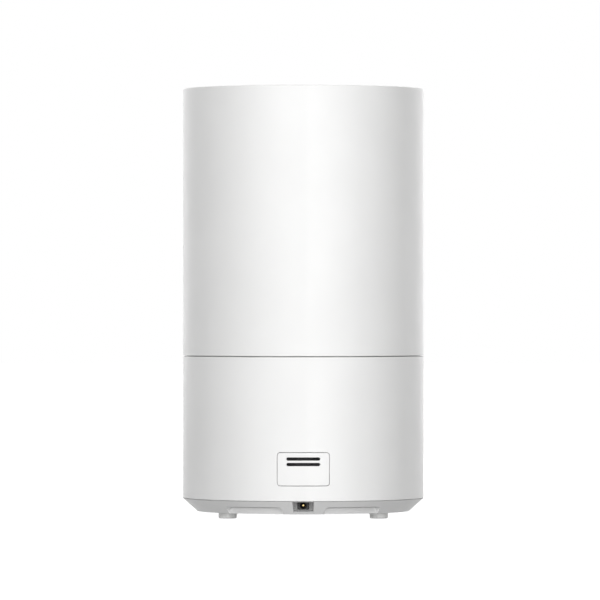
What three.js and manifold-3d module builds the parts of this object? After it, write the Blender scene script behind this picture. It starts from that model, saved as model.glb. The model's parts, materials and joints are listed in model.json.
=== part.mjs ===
// Cool mist humidifier: a drum-shaped water tank on a base, with a top-fill lid.
// Millimetres, +Z up. The origin is the middle of the footprint, on the surface the feet stand on.
// The front, with the power button, faces -Y; the sensor cover and the power jack face +Y.

import * as THREE from 'three';
import { mergeVertices } from 'three/addons/utils/BufferGeometryUtils.js';
import Module from 'manifold-3d';

const wasm = await Module();
wasm.setup();

// ---------------------------------------------------------------- driving dimensions

const bodyRadius = 100;       // outside of the drum
const wall = 2.5;             // thickness of the drum walls
const rimHeight = 355.5;      // top of the tank wall
const seamHeight = 133.7;     // middle of the seam between base and tank
const seamWidth = 0.7;
const chamferTop = 15.5;      // where the chamfered bottom cover meets the drum
const chamferInset = 12;
const footHeight = 4.7;       // the bottom cover stands this far above the table
const gap = 0.3;              // clearance between pieces that meet
const skin = 2.4;             // thickness of the inner mouldings

// facets round a full circle
const large = 40;
const medium = 18;
const small = 10;
const tiny = 8;

const innerRadius = bodyRadius - wall;
const fitRadius = innerRadius - gap;
const housingBottom = chamferTop + gap;
const housingTop = seamHeight - seamWidth / 2;
const tankBottom = seamHeight + seamWidth / 2;
const trayRadius = bodyRadius - chamferInset;
const trayFloor = footHeight + wall;

// sensor cover in the rear wall
const coverWidth = 42.7;
const coverHeight = 26.8;
const coverCentre = 41.9;
const coverCorner = 2.2;
const coverGap = 0.4;
const slotLength = 27.9;
const slotWidth = 2.6;
const slotHeights = [45.8, 50.3];

// power jack notch and finger recesses in the bottom cover
const notchWidth = 16.7;
const notchTop = 15.4;
const bezelFace = 88;
const jackAxis = 12.05;
const recessRadius = 87;
const recessTop = 10.5;
const recessStart = 10.5;     // degrees from the rear direction
const recessEnd = 43.5;

// feet
const footX = 62.3;
const footY = 45;
const footRadius = 7.5;

// power button in the front wall
const buttonHeight = 75;
const buttonRadius = 8;

// water basin
const ledgeTop = 106.4;
const deckBottom = ledgeTop + gap;
const deckTop = deckBottom + skin;
const basinRim = 133.2;
const wellRadius = 32;
const wellFloor = 90.4;
const transducerTop = 86.6;

// places in the base, as [x, y]
const fanPlace = [-34, 0];
const ductPlace = [-34, 36];
const floatPlace = [50, 22];
const valvePlace = [0, -55];
const coverScrewPlaces = [[78.3, 16.6], [-78.3, 16.6], [-78.3, -16.6], [78.3, -16.6]];
const basinScrewAngles = [30, 150, 270];
const basinScrewRadius = 87;
const fanScrewPlaces = [[-34, -33], [-3, 11.3]];
const mainBoardPosts = [[14, -54], [58, -54], [14, -16], [58, -16]];
const driverBoardPosts = [[16, 15], [60, 15], [16, 53], [58, 53]];
const boardBottom = 15;
const boardThickness = 1.6;
const boardTop = boardBottom + boardThickness;
const postTop = boardBottom - gap;

// fan
const fanBottom = 9.5;
const fanTop = 30;
const fanCavity = 27;
const impellerRadius = 23;
const ductRadius = 12.4;

// tank
const tankFloorBottom = 135;
const tankFloorTop = tankFloorBottom + 2.8;
const neckRadius = 21.4;
const tubeRadius = 21;
const tubeFlange = 30;        // the foot that the mist tube stands on
const tubeFoot = 139.6;
const tubeTop = 336;
const valveSeat = 120.4;
const valveOpening = 5.4;     // how far the seated tank holds the valve open

// lid
const ledgeHeight = 341;
const lidPlate = 343;
const lidTop = 354;
const collarRadius = 30;
const windowInner = 46;
const windowOuter = 84;
const windowAngle = 62;
const windowCount = 4;

// ---------------------------------------------------------------- shapes

const radians = THREE.MathUtils.degToRad;

/** A solid of revolution about Z from [radius, height] points, going round counter-clockwise. */
function turned(points, facets) {
  const outline = points.map(([radius, height]) => new THREE.Vector2(radius, height));
  return new THREE.LatheGeometry(outline, facets).rotateX(Math.PI / 2);
}

/** A ring about Z. */
function ring(inner, outer, bottom, top, facets) {
  return turned([[inner, bottom], [outer, bottom], [outer, top], [inner, top], [inner, bottom]], facets);
}

/** A rod along Z, at place [x, y]. */
function rod(radius, bottom, top, facets, place = [0, 0]) {
  const height = top - bottom;
  const middle = (top + bottom) / 2;
  return new THREE.CylinderGeometry(radius, radius, height, facets)
    .rotateX(Math.PI / 2)
    .translate(place[0], place[1], middle);
}

/** A rod along Y, centred on x and z. */
function rodAlongY(radius, front, back, facets, x, z) {
  return new THREE.CylinderGeometry(radius, radius, back - front, facets)
    .translate(x, (front + back) / 2, z);
}

/** A box between two corners. */
function block([x0, y0, z0], [x1, y1, z1]) {
  return new THREE.BoxGeometry(x1 - x0, y1 - y0, z1 - z0)
    .translate((x0 + x1) / 2, (y0 + y1) / 2, (z0 + z1) / 2);
}

/** A flat sector of a ring about Z, between two angles in degrees. */
function sector(inner, outer, from, to, bottom, top, facets) {
  const shape = new THREE.Shape();
  shape.absarc(0, 0, outer, radians(from), radians(to), false);
  shape.absarc(0, 0, inner, radians(to), radians(from), true);
  return new THREE.ExtrudeGeometry(shape, { depth: top - bottom, bevelEnabled: false, curveSegments: facets })
    .translate(0, 0, bottom);
}

/** A rounded rectangle in the XZ plane, given thickness along Y. */
function roundedPlate(width, height, corner, front, back, x, z) {
  const shape = new THREE.Shape();
  const w = width / 2 - corner;
  const h = height / 2 - corner;
  const quarter = Math.PI / 2;
  shape.absarc(w, h, corner, 0, quarter, false);
  shape.absarc(-w, h, corner, quarter, 2 * quarter, false);
  shape.absarc(-w, -h, corner, 2 * quarter, 3 * quarter, false);
  shape.absarc(w, -h, corner, 3 * quarter, 4 * quarter, false);
  return new THREE.ExtrudeGeometry(shape, { depth: back - front, bevelEnabled: false, curveSegments: 4 })
    .rotateX(Math.PI / 2)
    .translate(x, back, z);
}

/** A round wire along a curve. */
function wire(curve, radius, steps, sides) {
  const section = new THREE.Shape();
  section.absarc(0, 0, radius, 0, 2 * Math.PI, false);
  return new THREE.ExtrudeGeometry(section, {
    steps,
    bevelEnabled: false,
    extrudePath: curve,
    curveSegments: sides,
  });
}

/** A helix about Z. */
class Helix extends THREE.Curve {
  constructor(radius, bottom, top, turns) {
    super();
    this.radius = radius;
    this.bottom = bottom;
    this.top = top;
    this.turns = turns;
  }

  getPoint(t, target = new THREE.Vector3()) {
    const angle = 2 * Math.PI * this.turns * t;
    const x = this.radius * Math.cos(angle);
    const y = this.radius * Math.sin(angle);
    return target.set(x, y, THREE.MathUtils.lerp(this.bottom, this.top, t));
  }
}

// ---------------------------------------------------------------- joining and cutting

/** The closed solid that a geometry bounds. */
function toSolid(geometry) {
  const bare = geometry.clone();
  bare.deleteAttribute('normal');
  bare.deleteAttribute('uv');
  const merged = mergeVertices(bare, 1e-4);
  const corners = merged.index.array;
  const kept = [];
  for (let i = 0; i < corners.length; i += 3) {
    const [a, b, c] = corners.slice(i, i + 3);
    if (a !== b && b !== c && c !== a) kept.push(a, b, c);
  }
  return new wasm.Manifold(new wasm.Mesh({
    numProp: 3,
    vertProperties: Float32Array.from(merged.attributes.position.array),
    triVerts: Uint32Array.from(kept),
  }));
}

function toGeometry(solid) {
  const mesh = solid.getMesh();
  const geometry = new THREE.BufferGeometry();
  geometry.setAttribute('position', new THREE.BufferAttribute(mesh.vertProperties, 3));
  geometry.setIndex(new THREE.BufferAttribute(mesh.triVerts, 1));
  geometry.computeVertexNormals();
  return geometry;
}

function join(first, ...others) {
  return toGeometry(others.reduce((solid, other) => solid.add(toSolid(other)), toSolid(first)));
}

function cut(first, ...others) {
  return toGeometry(others.reduce((solid, other) => solid.subtract(toSolid(other)), toSolid(first)));
}

function common(first, second) {
  return toGeometry(toSolid(first).intersect(toSolid(second)));
}

// ---------------------------------------------------------------- materials

function plastic(color, roughness = 0.5) {
  return () => new THREE.MeshStandardMaterial({ color, roughness, metalness: 0 });
}

function metal(color, roughness = 0.35) {
  return () => new THREE.MeshStandardMaterial({ color, roughness, metalness: 1 });
}

const whitePlastic = plastic(0xf2f2f0);
const greyPlastic = plastic(0x8e8e8e);
const blackPlastic = plastic(0x2a2a2a);
const frostedPlastic = plastic(0xdedede, 0.6);
const greyRubber = plastic(0xcfcfcd, 0.8);
const silicone = plastic(0xe6e6e2, 0.7);
const boardGreen = plastic(0x1f6b3a, 0.6);
const filterFoam = plastic(0x4a4a4a, 0.95);
const leadSheath = plastic(0xb02a22, 0.6);
const steel = metal(0xb8b8b8);
const aluminium = metal(0xc4c6c8);
const brass = metal(0xb9a15a);
const magnetCoat = metal(0x6f7276);
const ceramic = plastic(0xd9d4c4, 0.4);

/** A named piece of the object. */
function piece(name, geometry, material, place = [0, 0, 0]) {
  const mesh = new THREE.Mesh(geometry, material());
  mesh.name = name;
  mesh.position.set(...place);
  return mesh;
}

// ---------------------------------------------------------------- base: housing and bottom cover

function coverOutline(clearance, front, back) {
  const width = coverWidth + 2 * clearance;
  const height = coverHeight + 2 * clearance;
  return roundedPlate(width, height, coverCorner + clearance, front, back, 0, coverCentre);
}

function baseHousing() {
  const shell = ring(innerRadius, bodyRadius, housingBottom, housingTop, large);
  const ledge = ring(93.5, innerRadius + 1, ledgeTop - skin, ledgeTop, large);
  const added = [ledge];
  const removed = [
    coverOutline(coverGap, 90, 110),
    rodAlongY(buttonRadius + 2.3, -110, -90, medium, 0, buttonHeight),
  ];
  for (const angle of basinScrewAngles) {
    const place = polar(basinScrewRadius, angle);
    const reach = basinScrewRadius - 5;
    added.push(sector(reach, innerRadius + 1, angle - 4, angle + 4, ledgeTop - skin, ledgeTop, 4));
    removed.push(rod(1.8, ledgeTop - 5, ledgeTop + 1, tiny, place));
  }
  for (const [x, y] of coverScrewPlaces) {
    const side = Math.sign(x);
    const rib = [Math.min(x, side * 96.5), y - 1.2, 22];
    const ribEnd = [Math.max(x, side * 96.5), y + 1.2, 45];
    added.push(rod(4.2, 21.5, 45, tiny, [x, y]), block(rib, ribEnd));
    removed.push(rod(1.8, 21, 40, tiny, [x, y]));
  }
  for (const x of [-18, 18]) {
    added.push(rodAlongY(2.6, -96.6, -87, tiny, x, buttonHeight));
    added.push(rodAlongY(1.1, -87.5, -84.3, 6, x, buttonHeight));
  }
  return cut(join(shell, ...added), ...removed);
}

function polar(radius, angle) {
  return [radius * Math.cos(radians(angle)), radius * Math.sin(radians(angle))];
}

/** The bottom cover as if it had no hollows in it. */
function trayEnvelope() {
  return turned([
    [0, footHeight],
    [trayRadius, footHeight],
    [bodyRadius, chamferTop],
    [fitRadius, chamferTop],
    [fitRadius, 21],
    [0, 21],
  ], large);
}

function bottomCover() {
  const shell = turned([
    [0, footHeight],
    [trayRadius, footHeight],
    [bodyRadius, chamferTop],
    [fitRadius, chamferTop],
    [fitRadius, 21],
    [fitRadius - skin, 21],
    [fitRadius - skin, chamferTop],
    [trayRadius - 1.3, trayFloor],
    [0, trayFloor],
  ], large);
  const backing = [block([-11, 83, footHeight], [11, 99, 17])];
  const removed = [
    block([-notchWidth / 2, 84.6, trayFloor], [notchWidth / 2, 102, notchTop]),
    block([-4.9, 82, trayFloor], [4.9, 85, 17.3]),
  ];
  for (const [from, to] of [[recessStart, recessEnd], [-recessEnd, -recessStart]]) {
    backing.push(sector(recessRadius - skin, 99, 88 + from, 92 + to, footHeight, recessTop + skin, 6));
    removed.push(sector(recessRadius, 103, 90 + from, 90 + to, footHeight - 1, recessTop, 6));
  }
  const backed = backing.map((solid) => common(solid, trayEnvelope()));

  const posts = [];
  for (const place of coverScrewPlaces) {
    posts.push(rod(5.2, trayFloor - 1, 21.2, tiny, place));
    removed.push(rod(3.8, footHeight - 1, 17.5, tiny, place));
    removed.push(rod(1.9, 17, 22, tiny, place));
  }
  for (const place of [...mainBoardPosts, ...driverBoardPosts]) {
    posts.push(rod(2.8, trayFloor - 1, postTop, tiny, place));
    posts.push(rod(1.1, postTop - 1, boardTop + 1, 6, place));
  }
  for (const place of fanScrewPlaces) {
    posts.push(rod(3.6, trayFloor - 1, fanBottom - gap, tiny, place));
    removed.push(rod(1.8, 5.3, fanBottom, tiny, place));
  }
  for (const x of [-footX, footX]) {
    for (const y of [-footY, footY]) {
      removed.push(rod(3.3, footHeight - 1, trayFloor + 1, small, [x, y]));
    }
  }
  for (let row = -3; row <= 3; row += 1) {
    const y = fanPlace[1] + row * 4.6;
    const reach = Math.sqrt(18 ** 2 - (row * 4.6) ** 2);
    const corner = [fanPlace[0] - reach, y - 1.1, footHeight - 1];
    removed.push(block(corner, [fanPlace[0] + reach, y + 1.1, trayFloor + 1]));
  }
  const filterRing = ring(20.4, 22, trayFloor - 1, 9, medium).translate(...fanPlace, 0);
  return cut(join(shell, ...backed, ...posts, filterRing), ...removed);
}

function foot() {
  return turned([
    [0, 0],
    [footRadius - 1.4, 0],
    [footRadius - 0.4, 0.4],
    [footRadius, 1.4],
    [footRadius, footHeight - gap],
    [3, footHeight - gap],
    [3, trayFloor + gap],
    [3.9, trayFloor + gap],
    [2.6, trayFloor + 2],
    [0, trayFloor + 2],
  ], 12);
}

/** A pan-head screw: its head is below the origin and its shank points up from it. */
function screw(headRadius, headHeight, length) {
  return turned([
    [0, -headHeight],
    [headRadius - 0.6, -headHeight],
    [headRadius, 0.8 - headHeight],
    [headRadius, 0],
    [1.5, 0],
    [1.5, length - 1.5],
    [0, length],
  ], tiny);
}

// ---------------------------------------------------------------- base: water side

function waterBasin() {
  const outer = innerRadius - 0.4;
  const tub = turned([
    [wellRadius + skin, deckBottom],
    [outer, deckBottom],
    [outer, basinRim],
    [outer - skin, basinRim],
    [outer - skin, deckTop],
    [wellRadius, deckTop],
    [wellRadius, wellFloor],
    [9, wellFloor],
    [9, wellFloor - skin],
    [wellRadius + skin, wellFloor - skin],
    [wellRadius + skin, deckBottom],
  ], large);
  const under = wellFloor - skin;
  const added = [
    ring(13, 15.2, 84.2, under + 0.5, medium),
    rod(2.5, deckTop - 1, 118.2, small, valvePlace),
    block([valvePlace[0] - 6, valvePlace[1] - 0.8, deckTop - 1], [valvePlace[0] + 6, valvePlace[1] + 0.8, 113]),
    block([valvePlace[0] - 0.8, valvePlace[1] - 6, deckTop - 1], [valvePlace[0] + 0.8, valvePlace[1] + 6, 113]),
    rod(2.2, deckTop - 1, 130, small, floatPlace),
    ring(10.4, 12.8, deckBottom, 127, medium).translate(...ductPlace, 0),
    ring(12.8, 15, 98, deckBottom + 1, medium).translate(...ductPlace, 0),
  ];
  const removed = [
    rod(1.5, 125, 131, small, floatPlace),
    rod(10.4, deckBottom - 1, 128, medium, ductPlace),
  ];
  for (const x of [-20, 20]) {
    added.push(rod(3.4, 84.2, under + 0.5, tiny, [x, 0]));
    removed.push(rod(1.8, 84, 88.9, tiny, [x, 0]));
  }
  for (const angle of basinScrewAngles) {
    const place = polar(basinScrewRadius, angle);
    added.push(rod(4.2, deckTop - 1, 116, tiny, place));
    removed.push(rod(1.8, deckBottom - 1, 114.2, tiny, place));
  }
  return cut(join(tub, ...added), ...removed);
}

function transducerSeal() {
  return turned([
    [8.6, 84.2],
    [12.7, 84.2],
    [12.7, 87.7],
    [8.6, 87.7],
    [8.6, transducerTop + gap],
    [10.3, transducerTop + gap],
    [10.3, 85.1],
    [8.6, 85.1],
    [8.6, 84.2],
  ], medium);
}

function transducerRetainer() {
  const plate = ring(7.5, 24.5, 81.5, 83.9, medium);
  return cut(plate, rod(1.8, 81, 84.5, tiny, [-20, 0]), rod(1.8, 81, 84.5, tiny, [20, 0]));
}

function floatBody() {
  return turned([
    [3, 110],
    [5, 110],
    [5, 112.5],
    [8, 112.5],
    [8, 110],
    [12.2, 110],
    [13, 110.8],
    [13, 119.2],
    [12.2, 120],
    [3, 120],
    [3, 110],
  ], medium);
}

function floatRetainer() {
  return turned([[0, 126], [1.2, 126], [1.2, 130.3], [7, 130.3], [7, 131.6], [6.2, 132.3], [0, 132.3]], small);
}

// ---------------------------------------------------------------- base: fan

/** The fan's outline: a round chamber with an outlet lobe. */
function fanOutline(margin, bottom, top) {
  const [x, y] = fanPlace;
  const [dx, dy] = ductPlace;
  const lobe = 13 + margin;
  return join(
    rod(fanCavity + margin, bottom, top, medium, [x, y]),
    block([dx - lobe, y, bottom], [dx + lobe, dy, top]),
    rod(lobe, bottom, top, medium, [dx, dy]),
  );
}

function fanHousing() {
  const lugs = fanScrewPlaces.map((place) => rod(5, fanBottom, fanBottom + 2.5, small, place));
  const holes = fanScrewPlaces.map((place) => rod(1.8, fanBottom - 1, fanBottom + 4, tiny, place));
  const inlet = rod(17, fanBottom - 1, fanBottom + 3, medium, fanPlace);
  const cavity = fanOutline(0, fanBottom + 2, fanTop + 1);
  return cut(join(fanOutline(2, fanBottom, fanTop), ...lugs), cavity, inlet, ...holes);
}

function fanCover() {
  const plate = fanOutline(2, fanTop + gap, fanTop + gap + 2);
  const collar = ring(ductRadius + gap, ductRadius + 2.3, fanTop + gap + 1, 38, medium).translate(...ductPlace, 0);
  return cut(join(plate, collar), rod(ductRadius - 2, fanTop, fanTop + 4, medium, ductPlace));
}

function fanImpeller() {
  const hub = turned([
    [1.8, 16],
    [12, 16],
    [12, 26.5],
    [impellerRadius, 26.5],
    [impellerRadius, 28],
    [10.2, 28],
    [10.2, 18],
    [1.8, 18],
    [1.8, 16],
  ], medium);
  const parts = [ring(20.5, impellerRadius, 13, 14.4, medium)];
  const bladeCount = 12;
  for (let i = 0; i < bladeCount; i += 1) {
    parts.push(
      block([-3, -0.5, 13.2], [3, 0.5, 27])
        .rotateZ(radians(35))
        .translate(19.6, 0, 0)
        .rotateZ((2 * Math.PI * i) / bladeCount),
    );
  }
  const wheel = common(join(hub, ...parts), rod(impellerRadius, 12, 29, medium));
  return wheel.translate(...fanPlace, 0);
}

// ---------------------------------------------------------------- base: electronics

/** A circuit board with what stands on it; the corners are [x, y]. */
function circuitBoard([x0, y0], [x1, y1], posts, parts) {
  const board = block([x0, y0, boardBottom], [x1, y1, boardTop]);
  const holes = posts.map((place) => rod(1.5, boardBottom - 1, boardTop + 1, tiny, place));
  return cut(join(board, ...parts), ...holes);
}

function mainBoard() {
  const inner = boardTop - 0.4;
  return circuitBoard([10, -58], [62, -12], mainBoardPosts, [
    block([26, -48, inner], [40, -34, boardTop + 1.8]),
    block([18, -26, inner], [30, -19, boardTop + 6]),
    block([46, -50, inner], [56, -40, boardTop + 9]),
    rod(4, inner, boardTop + 12, small, [48, -26]),
  ]);
}

function driverBoard() {
  const inner = boardTop - 0.4;
  return circuitBoard([13, 12], [63, 56], driverBoardPosts, [
    rod(5, inner, boardTop + 10, small, [24, 42]),
    block([20, 24, inner], [27, 32, boardTop + 7]),
    block([38, 14, inner], [50, 20, boardTop + 6]),
  ]);
}

function heatSink() {
  const bottom = boardTop + gap;
  const parts = [block([32, 24, bottom], [60, 48, bottom + 3])];
  for (let x = 32; x <= 58.4; x += 4.4) {
    parts.push(block([x, 24, bottom + 2], [x + 1.6, 48, 37]));
  }
  return join(...parts);
}

function jack() {
  const body = block([-4.5, 72, 7.6], [4.5, 84.7, 16.8]);
  const snout = roundedPlate(9.2, 6.2, 0.8, 84, bezelFace - 0.6, 0, jackAxis);
  return cut(join(body, snout), rodAlongY(2.8, 75, bezelFace, small, 0, jackAxis));
}

function jackBezel() {
  const plate = roundedPlate(16.1, 7.6, 1, 85, bezelFace, 0, 11.4);
  return cut(plate, block([-4.9, 84, 8.7], [4.9, 89, 16]));
}

function sensorTray() {
  const outer = common(block([-25, 80, 25.9], [25, 98, 57.9]), rod(fitRadius, 20, 60, large));
  const cavity = block([-22.6, 82.2, 28.3], [22.6, 99, 55.5]);
  const posts = [rodAlongY(1.5, 81.5, 84.2, tiny, -10, 42), rodAlongY(1.5, 81.5, 84.2, tiny, 10, 42)];
  return join(cut(outer, cavity), ...posts);
}

/** The panel that pulls out of the rear wall, with its two vent slots and four legs. */
function sensorCover() {
  const panel = common(coverOutline(0, 90, 110), ring(innerRadius, bodyRadius, 20, 65, large));
  const legs = [];
  for (const x of [-19.5, 16.5]) {
    for (const z of [30.2, 51.4]) {
      legs.push(block([x, 91, z], [x + 3, 97.6, z + 2]));
    }
  }
  const slots = slotHeights.map(
    (z) => roundedPlate(slotLength, slotWidth, slotWidth / 2 - 0.01, 90, 105, 0, z),
  );
  return cut(join(panel, ...legs), ...slots);
}

// ---------------------------------------------------------------- base: power button

const buttonFace = -99.4;

function lightRing() {
  const sleeve = rodAlongY(buttonRadius + 2, buttonFace, -96, medium, 0, buttonHeight);
  const flange = rodAlongY(buttonRadius + 4.5, -96.3, -95, medium, 0, buttonHeight);
  return cut(join(sleeve, flange), rodAlongY(buttonRadius + 0.4, -101, -94, medium, 0, buttonHeight));
}

function powerButton() {
  const cap = rodAlongY(buttonRadius, buttonFace, -94, medium, 0, buttonHeight);
  const flange = rodAlongY(buttonRadius + 1.6, -94.7, -93.4, medium, 0, buttonHeight);
  return join(cap, flange);
}

function tactSwitch() {
  const body = block([-6, -90.6, buttonHeight - 6], [6, -87, buttonHeight + 6]);
  return cut(body, rodAlongY(2.2, -91, -87.4, small, 0, buttonHeight));
}

function switchBoard() {
  const board = block([-22, -86.7, buttonHeight - 10], [22, -85.1, buttonHeight + 10]);
  const holes = [-18, 18].map((x) => rodAlongY(1.5, -88, -84, tiny, x, buttonHeight));
  return cut(board, ...holes);
}

// ---------------------------------------------------------------- tank

function tankShell() {
  return turned([
    [innerRadius, tankBottom],
    [bodyRadius, tankBottom],
    [bodyRadius, rimHeight],
    [innerRadius, rimHeight],
    [innerRadius, ledgeHeight],
    [93.5, ledgeHeight],
    [93.5, ledgeHeight - 2.4],
    [innerRadius, ledgeHeight - 6.4],
    [innerRadius, tankBottom],
  ], large);
}

function tankFloor() {
  const disc = turned([
    [0, tankFloorBottom],
    [90, tankFloorBottom],
    [90, 126],
    [92.4, 126],
    [92.4, tankFloorBottom],
    [fitRadius, tankFloorBottom],
    [fitRadius, 150],
    [fitRadius - skin, 150],
    [fitRadius - skin, tankFloorTop],
    [0, tankFloorTop],
  ], large);
  const neck = rod(neckRadius, 121, tankFloorTop, medium, valvePlace);
  return cut(
    join(disc, neck),
    rod(tubeFlange - 5.7, tankFloorBottom - 1, tankFloorTop + 1, medium),
    rod(neckRadius - skin, 120, tankFloorTop + 1, medium, valvePlace),
  );
}

/** The tube that carries the mist up through the water, flanged where it is bonded to the floor. */
function mistTube() {
  return turned([
    [tubeRadius - 2.2, tubeFoot],
    [tubeFlange, tubeFoot],
    [tubeFlange, tubeFoot + 2.4],
    [tubeRadius, tubeFoot + 2.4],
    [tubeRadius, tubeTop],
    [tubeRadius - 2.2, tubeTop],
    [tubeRadius - 2.2, tubeFoot],
  ], medium);
}

/** The cap that screws into the tank's neck, with the valve seat and the stem's guide. */
function valveCap() {
  const shell = turned([
    [5.6, 117.5],
    [23.2, 117.5],
    [24, 118.3],
    [24, valveSeat],
    [18.6, valveSeat],
    [18.6, 141],
    [16.4, 141],
    [16.4, valveSeat],
    [5.6, valveSeat],
    [5.6, 117.5],
  ], medium);
  const hub = ring(2.5, 6.4, 138.6, 141, small);
  const arms = [0, 120, 240].map((angle) => block([5, -1.2, 138.8], [17.4, 1.2, 140.8]).rotateZ(radians(angle)));
  return join(shell, hub, ...arms);
}

function valveStem() {
  const disc = valveSeat + valveOpening + 1.9;
  return turned([
    [0, 118.5],
    [2, 118.5],
    [2, disc],
    [7, disc],
    [7, disc + 1.3],
    [2, disc + 1.3],
    [2, 146.5],
    [0, 146.5],
  ], small);
}

// ---------------------------------------------------------------- lid

function lid() {
  const plateTop = lidPlate + 2.5;
  const dish = turned([
    [15.8, 325],
    [18.2, 325],
    [18.2, lidPlate],
    [90.5, lidPlate],
    [90.5, 334],
    [93.1, 334],
    [93.1, lidPlate],
    [96.9, lidPlate],
    [96.9, lidTop],
    [94.5, lidTop],
    [94.5, plateTop],
    [collarRadius, plateTop],
    [collarRadius, 351.5],
    [collarRadius - skin, 351.5],
    [collarRadius - skin, plateTop],
    [15.8, plateTop],
    [15.8, 325],
  ], large);
  const windows = [];
  for (let i = 0; i < windowCount; i += 1) {
    const middle = 45 + (360 / windowCount) * i;
    const from = middle - windowAngle / 2;
    windows.push(sector(windowInner, windowOuter, from, from + windowAngle, 340, 350, 8));
  }
  return cut(dish, ...windows);
}

function mistNozzle() {
  const shell = turned([
    [13, 338],
    [15.4, 338],
    [15.4, 345.9],
    [27.2, 345.9],
    [27.2, 350],
    [25.6, 353],
    [21, 354.9],
    [0, 355.2],
    [0, 353],
    [20, 352.8],
    [24, 351],
    [25, 348.3],
    [13, 348.3],
    [13, 338],
  ], medium);
  const outlet = rod(7.5, 350.5, 358, medium)
    .scale(1.5, 1, 1)
    .translate(0, -11, 0);
  return cut(shell, outlet);
}

// ---------------------------------------------------------------- assembly

const humidifier = new THREE.Group();
const base = new THREE.Group();
const tank = new THREE.Group();
const top = new THREE.Group();
humidifier.add(base, tank, top);

base.add(
  piece('base_housing', baseHousing(), whitePlastic),
  piece('bottom_cover', bottomCover(), whitePlastic),
  piece('water_basin', waterBasin(), whitePlastic),
  piece('basin_seal', ring(94.9, 96.9, basinRim + gap, tankFloorBottom - gap, large), silicone),
);

const footNames = [
  ['foot_rear_left', footX, footY],
  ['foot_rear_right', -footX, footY],
  ['foot_front_left', footX, -footY],
  ['foot_front_right', -footX, -footY],
];
for (const [name, x, y] of footNames) {
  base.add(piece(name, foot(), greyRubber, [x, y, 0]));
}

base.add(
  piece('transducer_disc', rod(10, transducerTop - 1.2, transducerTop, medium), ceramic),
  piece('transducer_seal', transducerSeal(), silicone),
  piece('transducer_retainer', transducerRetainer(), aluminium),
  piece('float', floatBody().translate(...floatPlace, 0), frostedPlastic),
  piece('float_magnet', ring(5.3, 7.7, 110.3, 112.2, small), magnetCoat, [...floatPlace, 0]),
  piece('float_retainer', floatRetainer(), whitePlastic, [...floatPlace, 0]),
);

base.add(
  piece('fan_housing', fanHousing(), blackPlastic),
  piece('fan_cover', fanCover(), blackPlastic),
  piece('fan_motor', ring(2, 9.6, 19, fanTop, medium), steel, [...fanPlace, 0]),
  piece('fan_impeller', fanImpeller(), blackPlastic),
  piece('fan_shaft', rod(1.5, 15, fanTop - 1, small), steel, [...fanPlace, 0]),
  piece('air_duct', ring(ductRadius - 2, ductRadius, fanTop + 2.6, 106.4, medium), whitePlastic, [...ductPlace, 0]),
  piece('inlet_filter', rod(20, trayFloor + gap, 9.2, medium), filterFoam, [...fanPlace, 0]),
);

base.add(
  piece('main_board', mainBoard(), boardGreen),
  piece('driver_board', driverBoard(), boardGreen),
  piece('driver_heat_sink', heatSink(), aluminium),
  piece('dc_jack', jack(), blackPlastic),
  piece('dc_jack_pin', rodAlongY(1, 75.4, 86, small, 0, jackAxis), brass),
  piece('jack_bezel', jackBezel(), greyPlastic),
  piece('sensor_tray', sensorTray(), blackPlastic),
  piece('sensor_board', block([-13, 84.5, 33], [13, 85.7, 54]), blackPlastic),
  piece('sensor_element', block([-6, 86, 43.5], [6, 90.5, 52.5]), blackPlastic),
  piece('sensor_cover', sensorCover(), whitePlastic),
);

base.add(
  piece('button_light_ring', lightRing(), frostedPlastic),
  piece('power_button', powerButton(), whitePlastic),
  piece('switch_plunger', rodAlongY(1.7, -93.1, -89.2, small, 0, buttonHeight), greyPlastic),
  piece('tact_switch', tactSwitch(), blackPlastic),
  piece('switch_board', switchBoard(), boardGreen),
);

const transducerLead = new THREE.CatmullRomCurve3([
  new THREE.Vector3(0, 0, 85),
  new THREE.Vector3(0, 0, 76),
  new THREE.Vector3(3, 4, 64),
  new THREE.Vector3(10, 12, 48),
  new THREE.Vector3(19, 18, 34),
  new THREE.Vector3(22, 18.5, 25),
  new THREE.Vector3(22, 18.5, boardTop + gap),
]);
const fanLead = new THREE.CatmullRomCurve3([
  new THREE.Vector3(-24, -4, fanTop + 2.6),
  new THREE.Vector3(-23, -5, 38),
  new THREE.Vector3(-12, -12, 42),
  new THREE.Vector3(2, -24, 38),
  new THREE.Vector3(13, -34, 28),
  new THREE.Vector3(15, -36, boardTop + gap),
]);
base.add(
  piece('transducer_lead', wire(transducerLead, 1, 18, 3), leadSheath),
  piece('fan_lead', wire(fanLead, 0.9, 16, 3), leadSheath),
);

coverScrewPlaces.forEach(([x, y], i) => {
  base.add(piece(`cover_screw_${i + 1}`, screw(3.3, 2.5, 14), steel, [x, y, 17.2]));
});
basinScrewAngles.forEach((angle, i) => {
  const [x, y] = polar(basinScrewRadius, angle);
  base.add(piece(`basin_screw_${i + 1}`, screw(3.2, 2.4, 9.6), steel, [x, y, ledgeTop - skin - gap]));
});
[-20, 20].forEach((x, i) => {
  base.add(piece(`retainer_screw_${i + 1}`, screw(3, 2.2, 7.3), steel, [x, 0, 81.2]));
});
fanScrewPlaces.forEach(([x, y], i) => {
  const fanScrew = piece(`fan_screw_${i + 1}`, screw(3, 2, 6.5), steel, [x, y, fanBottom + 2.8]);
  fanScrew.rotation.x = Math.PI;
  base.add(fanScrew);
});

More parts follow.
